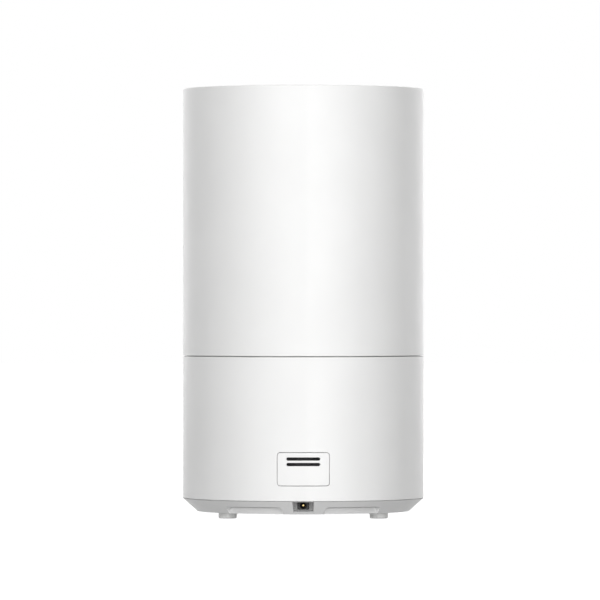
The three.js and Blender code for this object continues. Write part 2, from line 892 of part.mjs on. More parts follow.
tank.add(
  piece('tank_shell', tankShell(), whitePlastic),
  piece('tank_floor', tankFloor(), whitePlastic),
  piece('mist_tube', ring(tubeRadius - 2.2, tubeRadius, 139.6, tubeTop, medium), whitePlastic),
  piece('tube_seal', ring(19.2, 20.8, 138.1, 139.3, medium), silicone),
  piece('valve_cap', valveCap(), whitePlastic, [...valvePlace, 0]),
  piece('valve_stem', valveStem(), frostedPlastic, [...valvePlace, 0]),
  piece('valve_seal', ring(2.3, 8, valveSeat + valveOpening, valveSeat + valveOpening + 1.6, small), silicone,
    [...valvePlace, 0]),
  piece('valve_spring', wire(new Helix(4.2, 129.8, 137.8, 4), 0.45, 48, 2), steel, [...valvePlace, 0]),
);

top.add(
  piece('lid', lid(), whitePlastic),
  piece('lid_seal', ring(94, 96.8, ledgeHeight + gap, lidPlate - gap, large), silicone),
  piece('mist_nozzle', mistNozzle(), whitePlastic),
);

export default humidifier;
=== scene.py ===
"""A cool mist humidifier: a drum-shaped tank on a base, with a top-fill lid and a turning nozzle.

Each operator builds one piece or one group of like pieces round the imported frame. Outlines are written
in millimetres, as (radius or x, height) points, and their sizes come from the frame wherever it has them.
"""
import json
import math

import bmesh
import bpy
from mathutils import Matrix, Vector


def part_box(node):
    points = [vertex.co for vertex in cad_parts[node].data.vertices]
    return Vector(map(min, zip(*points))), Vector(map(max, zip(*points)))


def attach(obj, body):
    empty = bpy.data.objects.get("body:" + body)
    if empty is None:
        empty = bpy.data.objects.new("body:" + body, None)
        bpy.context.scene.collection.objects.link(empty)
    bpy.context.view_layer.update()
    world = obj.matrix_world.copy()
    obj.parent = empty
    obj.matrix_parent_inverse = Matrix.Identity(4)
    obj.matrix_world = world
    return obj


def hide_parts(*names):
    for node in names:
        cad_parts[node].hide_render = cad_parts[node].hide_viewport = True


bl_info = {
    "name": "Cool mist humidifier",
    "version": (1, 0, 0),
    "blender": (4, 5, 0),
    "location": "View3D > Sidebar > Humidifier",
    "description": "Builds the looks of a cool mist humidifier round its packed frame",
    "category": "Add Mesh",
}

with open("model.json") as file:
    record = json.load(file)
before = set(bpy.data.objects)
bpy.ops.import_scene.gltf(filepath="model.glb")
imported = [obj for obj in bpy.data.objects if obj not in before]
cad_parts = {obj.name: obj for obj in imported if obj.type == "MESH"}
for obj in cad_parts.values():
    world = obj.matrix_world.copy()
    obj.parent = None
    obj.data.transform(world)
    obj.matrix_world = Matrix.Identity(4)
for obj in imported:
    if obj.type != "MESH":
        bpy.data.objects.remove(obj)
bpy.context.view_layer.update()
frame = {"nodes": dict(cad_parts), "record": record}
MM = 0.001


def low(node, axis=2):
    """The lowest coordinate of a node along an axis, in millimetres."""
    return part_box(node)[0][axis] / MM


def high(node, axis=2):
    """The highest coordinate of a node along an axis, in millimetres."""
    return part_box(node)[1][axis] / MM


def middle(node):
    """The centre of a node's box, in millimetres."""
    return (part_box(node)[0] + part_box(node)[1]) / 2 / MM


BODY_RADIUS = high("tank_shell", 0)
RIM = high("tank_shell")
TANK_BOTTOM = low("tank_shell")
HOUSING_TOP = high("base_housing")
HOUSING_BOTTOM = low("base_housing")
PLATE_BOTTOM = low("bottom_cover")
TRAY_TOP = high("bottom_cover")
COVER_MIDDLE = (low("sensor_cover") + high("sensor_cover")) / 2
BUTTON_HEIGHT = middle("power_button").z


# ---------------------------------------------------------------- sizes and colours a user would change

class HumidifierSizes(bpy.types.PropertyGroup):
    """Sizes of the visible details, in metres."""
    wall: bpy.props.FloatProperty(
        name="Wall", description="Thickness of the drum's walls", default=2.5 * MM, unit="LENGTH")
    rim_round: bpy.props.FloatProperty(
        name="Rim rounding", description="Radius on the tank's top edges", default=0.7 * MM, unit="LENGTH")
    seam_round: bpy.props.FloatProperty(
        name="Seam rounding", description="Radius on the edges at the seams", default=0.25 * MM,
        unit="LENGTH")
    cover_corner: bpy.props.FloatProperty(
        name="Sensor cover corner", description="Corner radius of the sensor cover", default=2.2 * MM,
        unit="LENGTH")
    cover_gap: bpy.props.FloatProperty(
        name="Sensor cover gap", description="Gap round the sensor cover", default=0.4 * MM, unit="LENGTH")
    slot_length: bpy.props.FloatProperty(
        name="Slot length", description="Length of the sensor cover's slots", default=27.9 * MM,
        unit="LENGTH")
    slot_width: bpy.props.FloatProperty(
        name="Slot width", description="Width of the sensor cover's slots", default=2.6 * MM, unit="LENGTH")
    slot_pitch: bpy.props.FloatProperty(
        name="Slot pitch", description="Distance between the sensor cover's slots", default=4.5 * MM,
        unit="LENGTH")
    slot_rise: bpy.props.FloatProperty(
        name="Slot rise", description="Lower slot's height above the middle of the cover", default=3.9 * MM,
        unit="LENGTH")


class HumidifierColours(bpy.types.PropertyGroup):
    """Colours of the finishes."""
    housing: bpy.props.FloatVectorProperty(
        name="Housing", description="White of the drum", default=(0.86, 0.86, 0.855), size=3,
        subtype="COLOR", min=0, max=1)
    inner: bpy.props.FloatVectorProperty(
        name="Inner mouldings", description="White of the basin and the tank's floor",
        default=(0.78, 0.785, 0.78), size=3, subtype="COLOR", min=0, max=1)
    rubber: bpy.props.FloatVectorProperty(
        name="Feet", description="Light grey of the feet", default=(0.8, 0.8, 0.79), size=3,
        subtype="COLOR", min=0, max=1)
    # The bezel's mid grey is partly a grey moulding and partly painted shade: it darkens the walls of the
    # jack's pocket where shade falls.
    bezel: bpy.props.FloatVectorProperty(
        name="Jack bezel", description="Grey round the power jack, partly painted shade", default=(0.27, 0.27, 0.27), size=3,
        subtype="COLOR", min=0, max=1)
    black: bpy.props.FloatVectorProperty(
        name="Black mouldings", description="Black of the jack, the tray and the fan",
        default=(0.025, 0.025, 0.027), size=3, subtype="COLOR", min=0, max=1)
    silicone: bpy.props.FloatVectorProperty(
        name="Silicone", description="Milky white of the seals", default=(0.7, 0.71, 0.7), size=3,
        subtype="COLOR", min=0, max=1)
    frosted: bpy.props.FloatVectorProperty(
        name="Frosted plastic", description="Colour of the float and the button's ring",
        default=(0.72, 0.75, 0.76), size=3, subtype="COLOR", min=0, max=1)


def sizes():
    return bpy.context.scene.humidifier_sizes


def colours():
    return bpy.context.scene.humidifier_colours


# ---------------------------------------------------------------- materials

def shader(name):
    """A new material: the tree, its principled shader, and object coordinates."""
    material = bpy.data.materials.new(name)
    material.use_nodes = True
    tree = material.node_tree
    principled = tree.nodes["Principled BSDF"]
    place = tree.nodes.new("ShaderNodeTexCoord").outputs["Object"]
    return material, tree, principled, place


def noise(tree, place, scale, detail=2.0, stretch=None):
    """A noise pattern over the surface; stretch squeezes it along each axis."""
    node = tree.nodes.new("ShaderNodeTexNoise")
    node.inputs["Scale"].default_value = scale
    node.inputs["Detail"].default_value = detail
    if stretch:
        mapping = tree.nodes.new("ShaderNodeMapping")
        mapping.inputs["Scale"].default_value = stretch
        tree.links.new(place, mapping.inputs["Vector"])
        place = mapping.outputs["Vector"]
    tree.links.new(place, node.inputs["Vector"])
    return node.outputs["Fac"]


def spread(tree, value, lowest, highest):
    """The middle of a noise pattern's range, spread between two numbers."""
    node = tree.nodes.new("ShaderNodeMapRange")
    node.inputs["From Min"].default_value = 0.3
    node.inputs["From Max"].default_value = 0.7
    node.inputs["To Min"].default_value = lowest
    node.inputs["To Max"].default_value = highest
    tree.links.new(value, node.inputs["Value"])
    return node.outputs["Result"]


def blend_colours(tree, value, first, second):
    """A colour between two, by a value from 0 to 1."""
    node = tree.nodes.new("ShaderNodeMix")
    node.data_type = "RGBA"
    node.inputs["A"].default_value = (*first, 1)
    node.inputs["B"].default_value = (*second, 1)
    tree.links.new(value, node.inputs["Factor"])
    return node.outputs["Result"]


def bump(tree, principled, height, distance):
    node = tree.nodes.new("ShaderNodeBump")
    node.inputs["Distance"].default_value = distance
    tree.links.new(height, node.inputs["Height"])
    tree.links.new(node.outputs["Normal"], principled.inputs["Normal"])


def scaled(colour, factor):
    """A colour made lighter or darker."""
    return tuple(min(1.0, part * factor) for part in colour)


def moulded(name, colour, roughness=0.45, grain=2600, depth=0.012, variation=0.02, gloss_level=0.5):
    """Injection-moulded plastic: faint clouding, a fine spark-eroded grain and a slightly uneven gloss."""
    material, tree, principled, place = shader(name)
    cloud = noise(tree, place, 14, 3)
    mottled = blend_colours(tree, spread(tree, cloud, 0, 1), scaled(colour, 1 - variation),
                            scaled(colour, 1 + variation))
    tree.links.new(mottled, principled.inputs["Base Color"])
    gloss = spread(tree, noise(tree, place, 90, 2), roughness - 0.03, roughness + 0.03)
    tree.links.new(gloss, principled.inputs["Roughness"])
    principled.inputs["Specular IOR Level"].default_value = gloss_level
    bump(tree, principled, noise(tree, place, grain, 1), depth * MM)
    return material


def rubbery(name, colour, roughness=0.6, see_through=0.0):
    """Soft rubber or silicone, with a little light coming through it."""
    material, tree, principled, place = shader(name)
    cloud = noise(tree, place, 160, 3)
    mottled = blend_colours(tree, spread(tree, cloud, 0, 1), scaled(colour, 0.95), scaled(colour, 1.04))
    tree.links.new(mottled, principled.inputs["Base Color"])
    tree.links.new(spread(tree, cloud, roughness - 0.06, roughness + 0.06), principled.inputs["Roughness"])
    principled.inputs["Subsurface Weight"].default_value = see_through
    principled.inputs["Subsurface Radius"].default_value = (1.0, 1.0, 1.0)
    principled.inputs["Subsurface Scale"].default_value = 2 * MM
    bump(tree, principled, noise(tree, place, 1500, 2), 0.03 * MM)
    return material


def metallic(name, colour, roughness=0.35, stretch=(1, 1, 30)):
    """Drawn or turned metal, with fine lines across one axis."""
    material, tree, principled, place = shader(name)
    lines = noise(tree, place, 220, 4, stretch)
    streaked = blend_colours(tree, spread(tree, lines, 0, 1), scaled(colour, 0.88), scaled(colour, 1.08))
    tree.links.new(streaked, principled.inputs["Base Color"])
    tree.links.new(spread(tree, lines, roughness - 0.1, roughness + 0.1), principled.inputs["Roughness"])
    principled.inputs["Metallic"].default_value = 1.0
    bump(tree, principled, lines, 0.01 * MM)
    return material


def circuit_board(name):
    """Green solder mask with a faint pattern of copper runs under it."""
    material, tree, principled, place = shader(name)
    runs = tree.nodes.new("ShaderNodeTexVoronoi")
    runs.distance = "CHEBYCHEV"
    runs.inputs["Scale"].default_value = 240
    tree.links.new(place, runs.inputs["Vector"])
    edge = spread(tree, runs.outputs["Distance"], 0, 1)
    tree.links.new(blend_colours(tree, edge, (0.012, 0.12, 0.045), (0.02, 0.2, 0.075)),
                   principled.inputs["Base Color"])
    tree.links.new(spread(tree, noise(tree, place, 400), 0.22, 0.34), principled.inputs["Roughness"])
    bump(tree, principled, edge, 0.02 * MM)
    return material


def felted(name, colour):
    """Open filter felt."""
    material, tree, principled, place = shader(name)
    fibres = noise(tree, place, 900, 5)
    tree.links.new(blend_colours(tree, spread(tree, fibres, 0, 1), scaled(colour, 0.5), scaled(colour, 1.8)),
                   principled.inputs["Base Color"])
    tree.links.new(spread(tree, fibres, 0.85, 1.0), principled.inputs["Roughness"])
    bump(tree, principled, fibres, 0.3 * MM)
    return material


FINISHES = {}


def make_finishes():
    """One material for each finish, by its name."""
    c = colours()
    FINISHES.update({
        "housing_white": moulded("Satin white housing", c.housing, 0.42),
        "inner_white": moulded("Smooth white moulding", c.inner, 0.3, 1400, 0.008),
        "foot_rubber": rubbery("Light grey foot rubber", c.rubber, 0.55, 0.2),
        "silicone": rubbery("Milky silicone", c.silicone, 0.45, 0.3),
        "frosted_plastic": moulded("Frosted plastic", c.frosted, 0.55, 3200, 0.02),
        "black_plastic": moulded("Black moulding", c.black, 0.5, 2000, 0.02, 0.15, 0.35),
        # Partly painted shade: this grey darkens the bezel round the jack to stand in for the shade inside
        # the pocket.
        "grey_plastic": moulded("Grey moulding and painted shade", c.bezel, 0.5, 2200, 0.02, 0.04),
        "circuit_board": circuit_board("Green circuit board"),
        "steel": metallic("Zinc plated steel", (0.62, 0.62, 0.61), 0.32),
        "aluminium": metallic("Extruded aluminium", (0.74, 0.75, 0.76), 0.36, (30, 1, 1)),
        "brass": metallic("Turned brass", (0.72, 0.55, 0.24), 0.25),
        "magnet": moulded("Coated ferrite", (0.08, 0.08, 0.085), 0.4, 900, 0.03, 0.1),
        "piezo_ceramic": moulded("Fired ceramic disc", (0.72, 0.67, 0.56), 0.35, 700, 0.01, 0.04),
        "filter_foam": felted("Filter felt", (0.06, 0.06, 0.06)),
        "lead_sheath": rubbery("Red lead sheath", (0.42, 0.03, 0.025), 0.45),
    })


# ---------------------------------------------------------------- making pieces

def rounded_loop(bm, points, rounding, segments=3):
    """A closed loop of edges in the XZ plane; each point is (x, z) or (x, z, its own rounding)."""
    verts = [bm.verts.new((p[0] * MM, 0, p[1] * MM)) for p in points]
    for first, second in zip(verts, verts[1:] + verts[:1]):
        bm.edges.new((first, second))
    by_radius = {}
    for vert, point in zip(verts, points):
        radius = point[2] if len(point) > 2 else rounding
        if radius > 0 and abs(vert.co.x) > 1e-7:
            by_radius.setdefault(radius, []).append(vert)
    for radius, corners in sorted(by_radius.items()):
        bmesh.ops.bevel(bm, geom=corners, offset=radius * MM, offset_type="OFFSET", segments=segments,
                        profile=0.5, affect="VERTICES", material=-1, clamp_overlap=True)


def turned(points, rounding=0.3, steps=128, place=(0, 0)):
    """A body of revolution about a vertical axis at place; points on the axis stay sharp."""
    bm = bmesh.new()
    rounded_loop(bm, points, rounding)
    for edge in [e for e in bm.edges if all(abs(v.co.x) < 1e-7 for v in e.verts)]:
        bm.edges.remove(edge)
    bmesh.ops.spin(bm, geom=bm.verts[:] + bm.edges[:], cent=(0, 0, 0), axis=(0, 0, 1), dvec=(0, 0, 0),
                   angle=2 * math.pi, steps=steps, use_merge=True, use_duplicate=False)
    bmesh.ops.remove_doubles(bm, verts=bm.verts, dist=1e-6)
    bmesh.ops.recalc_face_normals(bm, faces=bm.faces)
    bmesh.ops.translate(bm, verts=bm.verts, vec=(place[0] * MM, place[1] * MM, 0))
    return bm


def ring(inner, outer, bottom, top, rounding, steps):
    return turned([(inner, bottom), (outer, bottom), (outer, top), (inner, top)], rounding, steps)


def rod(radius, bottom, top, rounding, steps):
    return turned([(0, bottom), (radius, bottom), (radius, top), (0, top)], rounding, steps)


def along_y(bm, height):
    """Lays a body of revolution down, so that its axis points to the rear at that height in millimetres."""
    bmesh.ops.rotate(bm, verts=bm.verts, cent=(0, 0, 0), matrix=Matrix.Rotation(-math.pi / 2, 3, "X"))
    bmesh.ops.translate(bm, verts=bm.verts, vec=(0, 0, height * MM))
    return bm


def slab(points, front, back, rounding=0.5, edge_round=0.0):
    """An outline in the XZ plane given depth along Y, with its rims rounded by edge_round."""
    bm = bmesh.new()
    rounded_loop(bm, points, rounding, 4)
    bmesh.ops.contextual_create(bm, geom=bm.edges[:])
    face = bm.faces[:]
    moved = bmesh.ops.extrude_face_region(bm, geom=face)["geom"]
    bmesh.ops.translate(bm, verts=bm.verts, vec=(0, front * MM, 0))
    added = [v for v in moved if isinstance(v, bmesh.types.BMVert)]
    bmesh.ops.translate(bm, verts=added, vec=(0, (back - front) * MM, 0))
    bmesh.ops.recalc_face_normals(bm, faces=bm.faces)
    if edge_round:
        rims = [e for e in bm.edges if len(e.link_faces) == 2 and e.calc_face_angle() > math.radians(60)]
        bmesh.ops.bevel(bm, geom=rims, offset=edge_round * MM, offset_type="OFFSET", segments=2, profile=0.5,
                        affect="EDGES", material=-1, clamp_overlap=True)
    return bm


def rectangle(width, height, x, z):
    """An outline about a centre."""
    w, h = width / 2, height / 2
    return [(x - w, z - h), (x + w, z - h), (x + w, z + h), (x - w, z + h)]


def circle(radius, count):
    """An outline about the origin."""
    return [(radius * math.cos(2 * math.pi * i / count), radius * math.sin(2 * math.pi * i / count))
            for i in range(count)]


def stadium(half_length, half_width, count=6):
    """The outline of a slot with round ends, about the origin."""
    points = []
    for side in (1, -1):
        for i in range(count + 1):
            turn = math.pi * (i / count - 0.5)
            points.append((side * (half_length - half_width + half_width * math.cos(turn)),
                           side * half_width * math.sin(turn)))
    return points


def shifted(outline, x, y):
    """An outline moved to another centre."""
    return [(x + px, y + py) for px, py in outline]


def encloses(outline, x, y):
    """Whether a point lies in a convex outline that goes round counter-clockwise."""
    for (ax, ay), (bx, by) in zip(outline, outline[1:] + outline[:1]):
        if (bx - ax) * (y - ay) - (by - ay) * (x - ax) < 0:
            return False
    return True


def clear_holes(bm, height, outlines):
    """Removes the faces at a height that fill the holes."""
    filled = []
    for face in bm.faces:
        if all(abs(v.co.z - height) < 1e-5 for v in face.verts):
            centre = face.calc_center_median() / MM
            if any(encloses(outline, centre.x, centre.y) for outline in outlines):
                filled.append(face)
    bmesh.ops.delete(bm, geom=filled, context="FACES_ONLY")


def merge(bm, other):
    """Adds another mesh to the first as it is."""
    mesh = bpy.data.meshes.new("part")
    other.to_mesh(mesh)
    other.free()
    bm.from_mesh(mesh)
    bpy.data.meshes.remove(mesh)


def to_object(name, bm):
    """A new object at the origin that holds the mesh."""
    mesh = bpy.data.meshes.new(name)
    bm.to_mesh(mesh)
    bm.free()
    obj = bpy.data.objects.new(name, mesh)
    bpy.context.scene.collection.objects.link(obj)
    return obj


def carved(bm, operation, *tools):
    """The mesh joined with, or cut by, other closed meshes, one after the other."""
    body = to_object("body", bm)
    for tool_mesh in tools:
        tool = to_object("tool", tool_mesh)
        step = body.modifiers.new("step", "BOOLEAN")
        step.operation = operation
        step.object = tool
        step.solver = "EXACT"
        evaluated = body.evaluated_get(bpy.context.evaluated_depsgraph_get())
        made = bpy.data.meshes.new_from_object(evaluated)
        body.modifiers.clear()
        body.data = made
        bpy.data.objects.remove(tool)
    result = bmesh.new()
    result.from_mesh(body.data)
    bpy.data.objects.remove(body)
    bmesh.ops.dissolve_degenerate(result, dist=1e-7, edges=result.edges[:])
    for face in result.faces:
        face.material_index = 0
    return result


def finish_piece(name, bm, body, finish, *nodes, smooth=38):
    """Makes the mesh a finished piece that rides on a body and stands for CAD nodes."""
    obj = to_object(name, bm)
    mesh = obj.data
    mesh.polygons.foreach_set("use_smooth", [True] * len(mesh.polygons))
    mesh.set_sharp_from_angle(angle=math.radians(smooth))
    mesh.materials.append(FINISHES[finish])
    even = obj.modifiers.new("Even shading", "WEIGHTED_NORMAL")
    even.keep_sharp = True
    even.weight = 80
    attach(obj, body)
    if nodes:
        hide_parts(*nodes)
    return obj


# ---------------------------------------------------------------- walls bent round the drum

def stops_to_lines(stops, step):
    """Numbers from the first stop to the last that take in every stop and are at most a step apart."""
    lines = [stops[0]]
    for start, end in zip(stops, stops[1:]):
        count = max(1, math.ceil((end - start) / step - 1e-6))
        lines += [start + (end - start) * i / count for i in range(1, count + 1)]
    return lines


def flat_sheet(across, up):
    """A sheet in the XZ plane with grid lines at these distances across and heights, in millimetres."""
    bm = bmesh.new()
    columns, rows = len(across) - 1, len(up) - 1
    bmesh.ops.create_grid(bm, x_segments=columns, y_segments=rows, size=1)
    for vert in bm.verts:
        column = round((vert.co.x + 1) / 2 * columns)
        row = round((vert.co.y + 1) / 2 * rows)
        vert.co = (across[column] * MM, 0, up[row] * MM)
    return bm


def onto_outline(vert, x, z, half_width, half_height, corner):
    """Moves a vertex to the nearest point of a rounded rectangle, or leaves it if it lies inside."""
    w, h = half_width - corner, half_height - corner
    offset = Vector((vert.co.x / MM - x, vert.co.z / MM - z))
    core = Vector((max(-w, min(w, offset.x)), max(-h, min(h, offset.y))))
    out = offset - core
    if out.length > corner - 1e-6:
        out.length = corner
        vert.co.x = (x + core.x + out.x) * MM
        vert.co.z = (z + core.y + out.y) * MM


def window(bm, x, z, half_width, half_height, corner, patch_width, patch_height):
    """Opens a rounded hole in a flat sheet, inside the patch of grid cells round it."""
    patch = set()
    for face in bm.faces:
        centre = face.calc_center_median() / MM
        if abs(centre.x - x) < patch_width and abs(centre.z - z) < patch_height:
            patch.add(face)
    border = [e for e in bm.edges if sum(f in patch for f in e.link_faces) == 1]
    bmesh.ops.delete(bm, geom=[f for f in bm.faces if f in patch], context="FACES_ONLY")
    bmesh.ops.delete(bm, geom=[e for e in bm.edges if not e.link_faces], context="EDGES")
    added = bmesh.ops.extrude_edge_only(bm, edges=border)["geom"]
    for vert in [g for g in added if isinstance(g, bmesh.types.BMVert)]:
        onto_outline(vert, x, z, half_width, half_height, corner)
    stray = [v for v in bm.verts if not v.link_faces]
    bmesh.ops.delete(bm, geom=stray, context="VERTS")


def wrap(bm, radius, start_angle=0.0):
    """Bends a flat sheet round the drum's axis: distance across becomes arc length."""
    for vert in bm.verts:
        angle = start_angle + vert.co.x / (radius * MM)
        vert.co.x, vert.co.y = radius * MM * math.cos(angle), radius * MM * math.sin(angle)
    bmesh.ops.remove_doubles(bm, verts=bm.verts, dist=1e-6)
    bmesh.ops.recalc_face_normals(bm, faces=bm.faces)
    outward = sum(f.normal.dot(Vector((f.calc_center_median().x, f.calc_center_median().y, 0)))
                  for f in bm.faces)
    if outward < 0:
        bmesh.ops.reverse_faces(bm, faces=bm.faces)
    return bm


def thicken(obj, thickness, rounding):
    """Gives a wrapped sheet its wall, inwards, and rounds the wall's edges."""
    even = obj.modifiers["Even shading"]
    solid = obj.modifiers.new("Wall", "SOLIDIFY")
    solid.thickness = thickness
    solid.offset = -1
    edges = obj.modifiers.new("Rounded edges", "BEVEL")
    edges.width = rounding
    edges.segments = 3
    edges.limit_method = "ANGLE"
    edges.angle_limit = math.radians(50)
    edges.harden_normals = False
    obj.modifiers.move(obj.modifiers.find(even.name), len(obj.modifiers) - 1)


# ---------------------------------------------------------------- the drum

def sensor_outline(clearance=0.0):
    """Half width, half height and corner of the sensor cover, grown by a clearance, in millimetres."""
    half_width = (high("sensor_cover", 0) - low("sensor_cover", 0)) / 2
    half_height = (high("sensor_cover") - low("sensor_cover")) / 2
    return half_width + clearance, half_height + clearance, sizes().cover_corner / MM + clearance


class HUMIDIFIER_OT_base_housing(bpy.types.Operator):
    """Builds the base's round wall, with its rear window and the button's hole"""
    bl_idname = "humidifier.base_housing"
    bl_label = "Base housing"

    columns = 240
    row_height = 2.7
    window_margin = 3.4
    ring_flange = 2.2

    def execute(self, context):
        arc = 2 * math.pi * BODY_RADIUS
        across = [arc * (i / self.columns - 0.5) for i in range(self.columns + 1)]
        half_width, half_height, corner = sensor_outline(sizes().cover_gap / MM)
        patch = arc / self.columns * 10
        patch_height = half_height + self.window_margin
        hole = (high("button_light_ring") - low("button_light_ring")) / 2 - self.ring_flange
        button_patch = arc / self.columns * 5
        up = stops_to_lines([
            HOUSING_BOTTOM,
            COVER_MIDDLE - half_height - self.window_margin,
            COVER_MIDDLE + half_height + self.window_margin,
            BUTTON_HEIGHT - button_patch,
            BUTTON_HEIGHT + button_patch,
            HOUSING_TOP,
        ], self.row_height)
        bm = flat_sheet(across, up)
        window(bm, arc / 4, COVER_MIDDLE, half_width, half_height, corner, patch, patch_height)
        window(bm, -arc / 4, BUTTON_HEIGHT, hole, hole, hole, button_patch, button_patch)
        wrap(bm, BODY_RADIUS)
        obj = finish_piece("lower_drum", bm, "base", "housing_white", "base_housing")
        thicken(obj, sizes().wall, sizes().seam_round)
        return {"FINISHED"}


class HUMIDIFIER_OT_sensor_cover(bpy.types.Operator):
    """Builds the pull-out panel in the rear wall, with its two vent slots and four legs"""
    bl_idname = "humidifier.sensor_cover"
    bl_label = "Sensor cover"

    slot_margin = 1.6
    column_width = 1.3
    row_height = 0.75
    leg_width = 3
    leg_height = 2
    leg_inset_side = 3.4
    leg_inset_end = 2.7
    leg_start = 4.2

    def execute(self, context):
        panel = finish_piece("sensor_panel", self.panel(), "sensor_cover", "housing_white", "sensor_cover")
        thicken(panel, sizes().wall, sizes().seam_round)
        finish_piece("sensor_cover_legs", self.legs(), "sensor_cover", "housing_white")
        return {"FINISHED"}

    def panel(self):
        """The curved sheet of the panel, with its round corners and its slots."""
        half_width, half_height, corner = sensor_outline()
        slot = sizes().slot_length / MM / 2
        slot_half = sizes().slot_width / MM / 2
        pitch = sizes().slot_pitch / MM
        lower = COVER_MIDDLE + sizes().slot_rise / MM
        reach = slot + self.slot_margin
        across = stops_to_lines([-half_width, -reach, reach, half_width], self.column_width)
        up = stops_to_lines([
            COVER_MIDDLE - half_height,
            lower - pitch / 2,
            lower + pitch / 2,
            lower + 3 * pitch / 2,
            COVER_MIDDLE + half_height,
        ], self.row_height)
        bm = flat_sheet(across, up)
        for height in (lower, lower + pitch):
            window(bm, 0, height, slot, slot_half, slot_half, reach, pitch / 2)
        for vert in [v for v in bm.verts if v.is_boundary]:
            past_side = abs(vert.co.x / MM) > half_width - corner
            past_end = abs(vert.co.z / MM - COVER_MIDDLE) > half_height - corner
            if past_side and past_end:
                onto_outline(vert, 0, COVER_MIDDLE, half_width, half_height, corner)
        return wrap(bm, BODY_RADIUS, math.pi / 2)

    def legs(self):
        """The four legs behind the panel's corners."""
        half_width, half_height, _ = sensor_outline()
        across, up = half_width - self.leg_inset_side, half_height - self.leg_inset_end
        legs = bmesh.new()
        for x in (-across, across):
            for z in (COVER_MIDDLE - up, COVER_MIDDLE + up):
                outline = rectangle(self.leg_width, self.leg_height, x, z)
                leg = slab(outline, low("sensor_cover", 1), BODY_RADIUS - self.leg_start, 0.3, 0.25)
                merge(legs, leg)
        return legs


